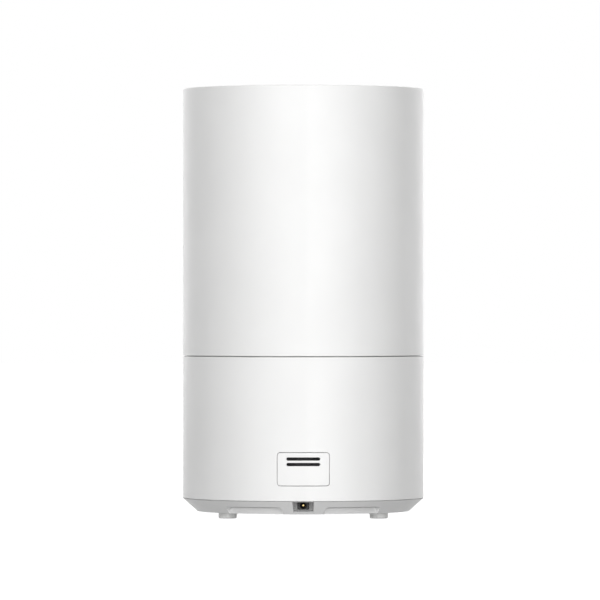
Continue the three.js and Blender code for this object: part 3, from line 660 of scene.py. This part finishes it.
class HUMIDIFIER_OT_bottom_cover(bpy.types.Operator):
    """Builds the chamfered tray under the base, with its finger recesses, jack notch and air grille"""
    bl_idname = "humidifier.bottom_cover"
    bl_label = "Bottom cover"

    chamfer = 12
    seam = 0.3
    edge_round = 0.35
    rim_thickness = 2.4
    ledge = 17.0
    plate_top = 7.2
    inner_edge = 84.2
    # The notch for the power jack, and the hole behind it that the jack's body passes through.
    notch_half_width = 8.35
    notch_radius = 92
    notch_half_angle = math.degrees(math.asin(notch_half_width / notch_radius))
    notch_floor = 7.2
    notch_ceiling = 15.2
    notch_depth = 84.8
    jack_hole_width = 9.5
    jack_hole_bottom = 7.45
    jack_hole_top = 16.9
    jack_hole_start = 78
    jack_hole_end = 86
    # The finger recesses, one each side, with a groove under their ceiling. Angles are in degrees.
    recess_start = 10.5
    recess_end = 43.5
    recess_round = 2.4
    recess_depth = 88.0
    recess_ceiling = 10.5
    recess_slope = 2.6
    groove_height = 0.6
    groove_depth = 3
    # The grille under the fan, and the counterbores of the screws.
    slot_pitch = 4.6
    slot_half_width = 1.1
    grille_radius = 18
    counterbore = 3.8

    def chamfer_radius(self, height):
        """The radius of the chamfer at a height."""
        share = (height - PLATE_BOTTOM) / (HOUSING_BOTTOM - self.seam - PLATE_BOTTOM)
        return BODY_RADIUS - self.chamfer + self.chamfer * share

    def hollow_at(self, angle):
        """(floor, ceiling, depth radius) of the hollow at an angle from the rear, in degrees."""
        size = abs(angle)
        if size <= self.notch_half_angle:
            return self.notch_floor, self.notch_ceiling, self.notch_depth
        if self.recess_start <= size <= self.recess_end:
            from_end = min(size - self.recess_start, self.recess_end - size, self.recess_round)
            arch = math.sqrt(max(0.0, 1 - (1 - from_end / self.recess_round) ** 2))
            drop = (self.recess_ceiling - PLATE_BOTTOM - 0.4) * (1 - arch)
            return PLATE_BOTTOM, self.recess_ceiling - drop, self.recess_depth
        return None

    def column_angles(self):
        """Angles from the rear, closer together where the outline changes."""
        hair = 0.03
        angles = [i * 1.5 for i in range(-120, 121)]
        for side in (-1, 1):
            for edge in (self.notch_half_angle, self.recess_start, self.recess_end):
                angles += [side * edge - hair, side * edge + hair]
            for corner, step in ((self.recess_start, 1), (self.recess_end, -1)):
                for share in (0.08, 0.2, 0.36, 0.55, 0.77):
                    angles.append(side * (corner + step * self.recess_round * share))
        return sorted(set(angles))[:-1]

    def section(self, angle):
        """The tray's outline at an angle from the rear: (radius, height) points, always as many."""
        top = HOUSING_BOTTOM - self.seam
        fit = BODY_RADIUS - sizes().wall / MM - self.seam
        rim_inner = fit - self.rim_thickness
        hollow = self.hollow_at(angle)
        if hollow:
            floor, ceiling, depth = hollow
        else:
            floor = ceiling = PLATE_BOTTOM + 0.05
            depth = self.chamfer_radius(ceiling)
        if floor == PLATE_BOTTOM:
            foot = depth - self.recess_slope
            below = [foot, foot, foot]
            lip, back = ceiling - self.groove_height, depth - self.groove_depth
        else:
            foot = depth
            edge = self.chamfer_radius(PLATE_BOTTOM)
            below = [edge - 0.3, edge + 0.1, self.chamfer_radius(floor)]
            lip, back = ceiling, depth
        return [
            (self.inner_edge, PLATE_BOTTOM),
            (below[0], PLATE_BOTTOM),
            (below[1], PLATE_BOTTOM + 0.1),
            (below[2], max(floor, PLATE_BOTTOM + 0.12)),
            (foot, max(floor, PLATE_BOTTOM + 0.14)),
            (depth, max(lip, floor)),
            (back, max(lip, floor)),
            (back, ceiling),
            (self.chamfer_radius(ceiling), ceiling),
            (BODY_RADIUS - self.edge_round, top - self.edge_round),
            (BODY_RADIUS, top - 0.05),
            (fit, top),
            (fit, TRAY_TOP),
            (rim_inner, TRAY_TOP),
            (rim_inner, self.ledge),
            (self.inner_edge, self.ledge),
        ]

    def execute(self, context):
        angles = self.column_angles()
        sections = [self.section(angle) for angle in angles]
        bm = flat_sheet(range(len(angles) + 1), range(len(sections[0])))
        for vert in bm.verts:
            column, row = round(vert.co.x / MM) % len(angles), round(vert.co.z / MM)
            radius, height = sections[column][row]
            turn = math.radians(angles[column])
            vert.co = (radius * MM * math.sin(turn), radius * MM * math.cos(turn), height * MM)
        bmesh.ops.remove_doubles(bm, verts=bm.verts, dist=2e-6)
        self.close_plate(bm)
        bmesh.ops.recalc_face_normals(bm, faces=bm.faces)
        hole_height = self.jack_hole_top - self.jack_hole_bottom
        hole_middle = (self.jack_hole_top + self.jack_hole_bottom) / 2
        outline = rectangle(self.jack_hole_width, hole_height, 0, hole_middle)
        jack_hole = slab(outline, self.jack_hole_start, self.jack_hole_end, 0)
        bm = carved(bm, "DIFFERENCE", jack_hole)
        finish_piece("bottom_tray", bm, "base", "housing_white", "bottom_cover", smooth=28)
        return {"FINISHED"}

    def hole_outlines(self):
        """Outlines of the grille's slots and the screws' counterbores."""
        grille = middle("inlet_filter")
        outlines = []
        for row in range(-3, 4):
            y = row * self.slot_pitch
            slot = stadium(math.sqrt(self.grille_radius ** 2 - y ** 2), self.slot_half_width)
            outlines.append(shifted(slot, grille.x, grille.y + y))
        for number in range(1, 5):
            screw = middle(f"cover_screw_{number}")
            outlines.append(shifted(circle(self.counterbore, 24), screw.x, screw.y))
        return outlines

    def close_plate(self, bm):
        """Closes the tray with its flat floor, leaving holes for the screws and the grille."""
        def loop_at(height):
            return [e for e in bm.edges if e.is_boundary
                    and all(abs(v.co.z - height * MM) < 1e-5 for v in e.verts)]
        pulled = bmesh.ops.extrude_edge_only(bm, edges=loop_at(self.ledge))["geom"]
        for vert in [g for g in pulled if isinstance(g, bmesh.types.BMVert)]:
            vert.co.z = self.plate_top * MM
        outlines = self.hole_outlines()
        rims = []
        for height in (PLATE_BOTTOM, self.plate_top):
            border = loop_at(height)
            holes = []
            for outline in outlines:
                verts = [bm.verts.new((x * MM, y * MM, height * MM)) for x, y in outline]
                holes.append([bm.edges.new(pair) for pair in zip(verts, verts[1:] + verts[:1])])
            bmesh.ops.triangle_fill(bm, use_beauty=True, edges=border + [e for hole in holes for e in hole])
            clear_holes(bm, height * MM, outlines)
            rims.append(holes)
        for under, over in zip(*rims):
            bmesh.ops.bridge_loops(bm, edges=under + over)


class HUMIDIFIER_OT_feet(bpy.types.Operator):
    """Builds the four rubber feet, each with a peg through the bottom cover"""
    bl_idname = "humidifier.feet"
    bl_label = "Feet"

    peg_radius = 3
    barb_radius = 3.9
    barb_tip = 2.6
    barb_rise = 2.8

    def execute(self, context):
        shoulder = PLATE_BOTTOM - 0.1
        barb = PLATE_BOTTOM + self.barb_rise
        for name in ("foot_rear_left", "foot_rear_right", "foot_front_left", "foot_front_right"):
            radius = (high(name, 0) - low(name, 0)) / 2
            centre = middle(name)
            bm = turned([
                (0, 0, 0), (radius, 0, 1.2), (radius, shoulder, 0.3), (self.peg_radius, shoulder, 0),
                (self.peg_radius, barb, 0), (self.barb_radius, barb, 0.1), (self.barb_tip, high(name), 0.4),
                (0, high(name), 0),
            ], 0, 64, (centre.x, centre.y))
            finish_piece(name.replace("foot", "pad"), bm, "base", "foot_rubber", name)
        return {"FINISHED"}


class HUMIDIFIER_OT_power_jack(bpy.types.Operator):
    """Builds the power jack, its centre pin and the grey bezel round it; the bezel's grey is partly its own
    colour and partly painted shade
    """
    bl_idname = "humidifier.power_jack"
    bl_label = "Power jack"

    half_opening = 4.9
    sill_height = 1.1
    axis_height = 12.05
    body_width = 9
    body_height = 9.2
    body_middle = 12.2
    body_front = 84.7
    snout_width = 9.2
    snout_height = 6.2
    snout_back = 84
    bore_radius = 2.8
    bore_end = 75
    pin_radius = 1

    def execute(self, context):
        # The bezel's grey finish is partly painted shade for the pocket round the jack.
        finish_piece("power_bezel", self.bezel(), "base", "grey_plastic", "jack_bezel")
        finish_piece("power_socket", self.socket(), "base", "black_plastic", "dc_jack")
        pin = rod(self.pin_radius, low("dc_jack_pin", 1), high("dc_jack_pin", 1), 0.4, 24)
        finish_piece("power_pin", along_y(pin, self.axis_height), "base", "brass", "dc_jack_pin")
        return {"FINISHED"}

    def bezel(self):
        """A frame round the jack, open at the top."""
        left, right = low("jack_bezel", 0), high("jack_bezel", 0)
        floor, top = low("jack_bezel"), high("jack_bezel")
        half, sill = self.half_opening, floor + self.sill_height
        return slab([
            (left, floor, 0.8), (right, floor, 0.8), (right, top, 0.2), (half, top, 0.2),
            (half, sill, 0.7), (-half, sill, 0.7), (-half, top, 0.2), (left, top, 0.2),
        ], low("jack_bezel", 1), high("jack_bezel", 1), 0.2, 0.15)

    def socket(self):
        """The jack's body with its snout, bored for the plug."""
        front = high("dc_jack", 1)
        block = rectangle(self.body_width, self.body_height, 0, self.body_middle)
        body = slab(block, low("dc_jack", 1), self.body_front, 0.3, 0.2)
        nose = rectangle(self.snout_width, self.snout_height, 0, self.axis_height)
        snout = slab(nose, self.snout_back, front, 0.8, 0.15)
        bore = along_y(rod(self.bore_radius, self.bore_end, front + 2, 0, 40), self.axis_height)
        return carved(carved(body, "UNION", snout), "DIFFERENCE", bore)


class HUMIDIFIER_OT_power_button(bpy.types.Operator):
    """Builds the front button with its frosted light ring"""
    bl_idname = "humidifier.power_button"
    bl_label = "Power button"

    flange_reach = 2.5
    flange_thickness = 1.3
    ring_width = 1.6
    cap_clearance = 0.4
    cap_flange = 1.6
    cap_dish = 0.9

    def execute(self, context):
        face = -low("button_light_ring", 1)
        back = -high("button_light_ring", 1)
        flange = (high("button_light_ring") - low("button_light_ring")) / 2
        outer = flange - self.flange_reach
        inner = outer - self.ring_width
        shoulder = back + self.flange_thickness
        sleeve = turned([
            (inner, back), (flange, back), (flange, shoulder),
            (outer, shoulder), (outer, face), (inner, face),
        ], 0.25, 96)
        finish_piece("light_ring", self.faced_front(sleeve), "base", "frosted_plastic", "button_light_ring")
        radius = inner - self.cap_clearance
        back = -high("power_button", 1)
        flange = radius + self.cap_flange
        shoulder = back + self.flange_thickness
        cap = turned([
            (0, back, 0), (flange, back), (flange, shoulder), (radius, shoulder),
            (radius, face - 0.1, 0.6), (radius - 1.6, face - 0.4, 2), (0, face - self.cap_dish, 0),
        ], 0.25, 96)
        finish_piece("button_cap", self.faced_front(cap), "power_button", "housing_white", "power_button")
        return {"FINISHED"}

    def faced_front(self, bm):
        """Turns a body of revolution so that its top faces the front, at the button's height."""
        bmesh.ops.rotate(bm, verts=bm.verts, cent=(0, 0, 0), matrix=Matrix.Rotation(math.pi / 2, 3, "X"))
        bmesh.ops.translate(bm, verts=bm.verts, vec=(0, 0, BUTTON_HEIGHT * MM))
        return bm


# ---------------------------------------------------------------- the tank

class HUMIDIFIER_OT_tank(bpy.types.Operator):
    """Builds the tank's wall, its mist tube and the tube's seal"""
    bl_idname = "humidifier.tank"
    bl_label = "Tank"

    seam_gap = 0.1
    ledge_reach = 4.0
    ledge_thickness = 2.4
    ledge_foot = 6.4
    tube_radius = 21
    tube_wall = 2.2
    flange_thickness = 2.4
    seal_width = 3.2

    def execute(self, context):
        finish_piece("upper_drum", self.wall(), "tank", "housing_white", "tank_shell")
        finish_piece("mist_pipe", self.tube(), "tank", "inner_white", "mist_tube")
        outer = high("tube_seal", 1)
        seal = ring(outer - self.seal_width, outer, low("tube_seal"), high("tube_seal"), 0.5, 96)
        finish_piece("pipe_gasket", seal, "tank", "silicone", "tube_seal")
        return {"FINISHED"}

    def wall(self):
        """The upper drum, with the ledge inside it that carries the lid's seal."""
        inner = BODY_RADIUS - sizes().wall / MM
        bottom = TANK_BOTTOM + self.seam_gap
        ledge = low("lid_seal") - 0.3
        ledge_edge = inner - self.ledge_reach
        rim = sizes().rim_round / MM
        seam = sizes().seam_round / MM
        return turned([
            (inner, bottom, seam), (BODY_RADIUS, bottom, seam), (BODY_RADIUS, RIM, rim), (inner, RIM, rim),
            (inner, ledge, 0.5), (ledge_edge, ledge, 0.4), (ledge_edge, ledge - self.ledge_thickness, 0.6),
            (inner, ledge - self.ledge_foot, 1.5),
        ], 0.3, 256)

    def tube(self):
        """The mist tube, with the flange that bonds it to the tank's floor."""
        outer, bore = self.tube_radius, self.tube_radius - self.tube_wall
        foot, top, flange = low("mist_tube"), high("mist_tube"), high("mist_tube", 1)
        shoulder = foot + self.flange_thickness
        return turned([
            (bore, foot), (flange, foot), (flange, shoulder),
            (outer, shoulder, 1.2), (outer, top), (bore, top),
        ], 0.6, 128)


class HUMIDIFIER_OT_lid(bpy.types.Operator):
    """Builds the dished lid, with its fill windows, and its seal"""
    bl_idname = "humidifier.lid"
    bl_label = "Lid"

    wall = 2.4
    nozzle_depth = 5
    plate_thickness = 2.5
    spigot_bore = 15.8
    spigot_radius = 18.2
    skirt_inner = 90.5
    skirt_outer = 93.1
    skirt_bottom = 334
    collar_radius = 30
    collar_top = 351.5
    seal_inner = 94
    window_count = 4
    window_inner = 46
    window_outer = 84
    window_half_turn = math.radians(31)
    window_corner = 4
    window_chamfer = 0.7

    def execute(self, context):
        plate = low("mist_nozzle") + self.nozzle_depth
        plate_top = plate + self.plate_thickness
        turns = [math.radians(45 + 360 / self.window_count * i) for i in range(self.window_count)]
        windows = [self.window_cutter(turn, plate, plate_top) for turn in turns]
        lid = carved(self.dish(plate, plate_top), "DIFFERENCE", *windows)
        finish_piece("fill_lid", lid, "lid", "housing_white", "lid", smooth=32)
        seal = ring(self.seal_inner, high("lid_seal", 0), low("lid_seal"), high("lid_seal"), 0.5, 192)
        finish_piece("lid_gasket", seal, "lid", "silicone", "lid_seal")
        return {"FINISHED"}

    def dish(self, plate, plate_top):
        """The lid without its windows: spigot, plate, skirt, raised rim and the collar for the nozzle."""
        outer, top, bottom = high("lid", 0), high("lid"), low("lid")
        bore, collar = self.spigot_bore, self.collar_radius
        return turned([
            (bore, bottom, 0.4), (self.spigot_radius, bottom, 0.4), (self.spigot_radius, plate, 1.2),
            (self.skirt_inner, plate, 1.2), (self.skirt_inner, self.skirt_bottom, 0.6),
            (self.skirt_outer, self.skirt_bottom, 0.6), (self.skirt_outer, plate, 0.4),
            (outer, plate, 0.4), (outer, top, 0.8), (outer - self.wall, top, 0.8),
            (outer - self.wall, plate_top, 3.0), (collar, plate_top, 2.0), (collar, self.collar_top, 0.7),
            (collar - self.wall, self.collar_top, 0.7), (collar - self.wall, plate_top, 0.8),
            (bore, plate_top, 0.4),
        ], 0.4, 256)

    def window_cutter(self, direction, plate, plate_top):
        """A curved prism with rounded corners that flares at the top, to leave a chamfer."""
        levels = [(plate - 4, 0.0), (plate_top - self.window_chamfer, 0.0), (plate_top + 0.6, 1.3)]
        bm = bmesh.new()
        loops = []
        for height, flare in levels:
            verts = []
            for radius, angle in self.sector_outline(flare):
                x, y = radius * math.cos(angle + direction), radius * math.sin(angle + direction)
                verts.append(bm.verts.new((x * MM, y * MM, height * MM)))
            loops.append([bm.edges.new(pair) for pair in zip(verts, verts[1:] + verts[:1])])
        for under, over in zip(loops, loops[1:]):
            bmesh.ops.bridge_loops(bm, edges=under + over)
        for loop in (loops[0], loops[-1]):
            bmesh.ops.contextual_create(bm, geom=loop)
        bmesh.ops.recalc_face_normals(bm, faces=bm.faces)
        return bm

    def sector_outline(self, flare):
        """(radius, angle) points round a ring sector with rounded corners, grown by a flare."""
        inner, outer = self.window_inner - flare, self.window_outer + flare
        corner = self.window_corner + flare
        steps = 24
        points = []
        for radius, side, start in ((outer, 1, 0), (inner, 1, 1), (inner, -1, 2), (outer, -1, 3)):
            centre_radius = radius - corner if radius == outer else radius + corner
            centre_angle = side * (self.window_half_turn + (flare - corner) / centre_radius)
            for i in range(7):
                swing = math.pi / 2 * (start + i / 6)
                points.append((centre_radius + corner * math.cos(swing),
                               centre_angle + corner * math.sin(swing) / centre_radius))
            if start % 2:
                points += [(radius, centre_angle * (1 - 2 * i / steps)) for i in range(1, steps)]
        return points


class HUMIDIFIER_OT_mist_nozzle(bpy.types.Operator):
    """Builds the turning nozzle with its oval outlet"""
    bl_idname = "humidifier.mist_nozzle"
    bl_label = "Mist nozzle"

    spigot_bore = 13
    spigot_radius = 15.4
    spigot_depth = 7.9
    floor_thickness = 2.4
    outlet_radius = 7.5
    outlet_flare = 9.2
    outlet_stretch = 1.5
    outlet_offset = 11

    def execute(self, context):
        bottom, top = low("mist_nozzle"), high("mist_nozzle")
        seat = bottom + self.spigot_depth
        nozzle = carved(self.shell(bottom, seat, top), "DIFFERENCE", self.outlet(seat, top))
        finish_piece("nozzle_cap", nozzle, "nozzle", "housing_white", "mist_nozzle", smooth=32)
        return {"FINISHED"}

    def shell(self, bottom, seat, top):
        """A hollow domed cap on a spigot."""
        radius = high("mist_nozzle", 1)
        floor = seat + self.floor_thickness
        return turned([
            (self.spigot_bore, bottom, 0.5), (self.spigot_radius, bottom, 0.5),
            (self.spigot_radius, seat, 0.5), (radius, seat, 0.5),
            (radius, top - 4.4, 2.2), (radius - 2.2, top - 1.6, 1.5),
            (21, top - 0.35, 2.5), (0, top, 0), (0, top - 2.2, 0), (20, top - 2.6, 1.5), (24, top - 4.4, 1),
            (24.6, floor, 0.8), (self.spigot_bore, floor, 0.8),
        ], 0.4, 192)

    def outlet(self, seat, top):
        """The oval cutter of the outlet, flared at the top and off the nozzle's middle."""
        bm = turned([
            (0, seat + 4.6, 0), (self.outlet_radius, seat + 4.6), (self.outlet_radius, top - 0.5, 0),
            (self.outlet_flare, top + 1.4, 0), (0, top + 1.4, 0),
        ], 0, 96)
        bmesh.ops.scale(bm, verts=bm.verts, vec=(self.outlet_stretch, 1, 1))
        bmesh.ops.translate(bm, verts=bm.verts, vec=(0, -self.outlet_offset * MM, 0))
        return bm


# ---------------------------------------------------------------- the parts inside

class HUMIDIFIER_OT_carried_parts(bpy.types.Operator):
    """Gives every part that keeps its frame mesh the finish of its material slot"""
    bl_idname = "humidifier.carried_parts"
    bl_label = "Inner parts"

    def execute(self, context):
        slots = {row["node"]: row["material_slot"] for row in frame["record"]["subparts"]}
        for name, obj in frame["nodes"].items():
            if obj.hide_render:
                continue
            obj.data.materials.clear()
            obj.data.materials.append(FINISHES[slots[name]])
        return {"FINISHED"}


# ---------------------------------------------------------------- stage

def area_light(name, place, aim, width, height, power):
    """A soft white light at a place, turned towards another, that the camera doesn't see."""
    data = bpy.data.lights.new(name, "AREA")
    data.shape = "RECTANGLE"
    data.size = width
    data.size_y = height
    data.energy = power
    lamp = bpy.data.objects.new(name, data)
    bpy.context.scene.collection.objects.link(lamp)
    lamp.location = place
    lamp.rotation_mode = "QUATERNION"
    lamp.rotation_quaternion = (Vector(aim) - Vector(place)).to_track_quat("-Z", "Y")
    lamp.visible_camera = False
    return lamp


class HUMIDIFIER_OT_stage(bpy.types.Operator):
    """Sets up the camera behind the object, a white floor and soft studio light"""
    bl_idname = "humidifier.stage"
    bl_label = "Stage"

    camera_distance = 5.0
    camera_height = 0.180
    camera_side = 0.0027
    focal_length = 360.6
    surround_light = 0.11
    floor_radius = 12
    floor_grey = 0.3
    # Turn from the rear, in degrees, and power of the tall soft lights that stand round the object.
    strip_lights = ((0, 8.4), (15, 11.2), (30, 4.6), (45, 3.5), (90, 0.5), (120, 2.3), (135, 3.6), (150, 6),
                    (165, 4), (180, 8))
    strip_distance = 1.8
    strip_width = 0.45
    strip_length = 2.4
    floor_light = 1.5
    floor_light_size = 3
    top_light = 10
    top_light_size = 1.2
    top_light_height = 2.1

    def execute(self, context):
        scene = context.scene
        self.camera(scene)
        self.surround(scene)
        self.floor()
        self.lights()
        scene.view_settings.view_transform = "Standard"
        return {"FINISHED"}

    def camera(self, scene):
        """A camera far behind the object, level with its middle."""
        camera = bpy.data.objects.new("Camera", bpy.data.cameras.new("Camera"))
        scene.collection.objects.link(camera)
        camera.location = (self.camera_side, self.camera_distance, self.camera_height)
        camera.rotation_euler = (math.pi / 2, 0, math.pi)
        camera.data.lens = self.focal_length
        camera.data.sensor_width = 36
        camera.data.clip_end = 50
        scene.camera = camera

    def lights(self):
        """Tall strips round the object, a wide light overhead and a faint one from the floor."""
        aim = Vector((0, 0, self.camera_height))
        for turn, power in self.strip_lights:
            for side in ((1, -1) if turn % 180 else (1,)):
                angle = math.radians(turn) * side
                away = Vector((math.sin(angle), math.cos(angle), 0)) * self.strip_distance
                name = f"Strip light {turn * side}"
                area_light(name, away + aim, aim, self.strip_width, self.strip_length, power)
        size = self.floor_light_size
        bounce = area_light("Floor bounce", (0, 0, 0.002), (0, 0, 1), size, size, self.floor_light)
        bounce.visible_glossy = False
        size = self.top_light_size
        area_light("Top light", (0, 0, self.top_light_height), aim, size, size, self.top_light)

    def surround(self, scene):
        """A white surround that lights matt surfaces more softly than it looks."""
        world = bpy.data.worlds.new("White surround")
        world.use_nodes = True
        nodes, links = world.node_tree.nodes, world.node_tree.links
        path = nodes.new("ShaderNodeLightPath")
        strength = nodes.new("ShaderNodeMapRange")
        strength.inputs["To Min"].default_value = 1.0
        strength.inputs["To Max"].default_value = self.surround_light
        background = nodes["Background"]
        background.inputs["Color"].default_value = (1, 1, 1, 1)
        links.new(path.outputs["Is Diffuse Ray"], strength.inputs["Value"])
        links.new(strength.outputs["Result"], background.inputs["Strength"])
        scene.world = world

    def floor(self):
        """A plain white floor that is clear from underneath."""
        bm = bmesh.new()
        bmesh.ops.create_circle(bm, cap_ends=True, segments=96, radius=self.floor_radius)
        floor = to_object("floor", bm)
        paper = bpy.data.materials.new("White paper")
        paper.use_nodes = True
        white = paper.node_tree.nodes["Principled BSDF"]
        white.inputs["Base Color"].default_value = (self.floor_grey, self.floor_grey, self.floor_grey, 1)
        white.inputs["Roughness"].default_value = 0.9
        white.inputs["Specular IOR Level"].default_value = 0.0
        white.inputs["Emission Color"].default_value = (1, 1, 1, 1)
        white.inputs["Emission Strength"].default_value = 1.0
        nodes, links = paper.node_tree.nodes, paper.node_tree.links
        side, mix = nodes.new("ShaderNodeNewGeometry"), nodes.new("ShaderNodeMixShader")
        links.new(side.outputs["Backfacing"], mix.inputs["Fac"])
        links.new(white.outputs["BSDF"], mix.inputs[1])
        links.new(nodes.new("ShaderNodeBsdfTransparent").outputs["BSDF"], mix.inputs[2])
        links.new(mix.outputs["Shader"], nodes["Material Output"].inputs["Surface"])
        floor.data.materials.append(paper)
        floor.visible_diffuse = False


# ---------------------------------------------------------------- panel and registration

PIECES = (
    HUMIDIFIER_OT_base_housing, HUMIDIFIER_OT_sensor_cover, HUMIDIFIER_OT_bottom_cover, HUMIDIFIER_OT_feet,
    HUMIDIFIER_OT_power_jack, HUMIDIFIER_OT_power_button, HUMIDIFIER_OT_tank, HUMIDIFIER_OT_lid,
    HUMIDIFIER_OT_mist_nozzle, HUMIDIFIER_OT_carried_parts, HUMIDIFIER_OT_stage,
)


class HUMIDIFIER_PT_panel(bpy.types.Panel):
    """Lists the operators that build the humidifier"""
    bl_idname = "HUMIDIFIER_PT_panel"
    bl_label = "Humidifier"
    bl_space_type = "VIEW_3D"
    bl_region_type = "UI"
    bl_category = "Humidifier"

    def draw(self, context):
        for piece in PIECES:
            self.layout.operator(piece.bl_idname)


CLASSES = (HumidifierSizes, HumidifierColours, *PIECES, HUMIDIFIER_PT_panel)


def register():
    for cls in CLASSES:
        bpy.utils.register_class(cls)
    bpy.types.Scene.humidifier_sizes = bpy.props.PointerProperty(type=HumidifierSizes)
    bpy.types.Scene.humidifier_colours = bpy.props.PointerProperty(type=HumidifierColours)


def unregister():
    del bpy.types.Scene.humidifier_sizes
    del bpy.types.Scene.humidifier_colours
    for cls in reversed(CLASSES):
        bpy.utils.unregister_class(cls)


def main():
    register()
    make_finishes()
    for piece in PIECES:
        group, name = piece.bl_idname.split(".")
        getattr(getattr(bpy.ops, group), name)()


if __name__ == "__main__":
    main()
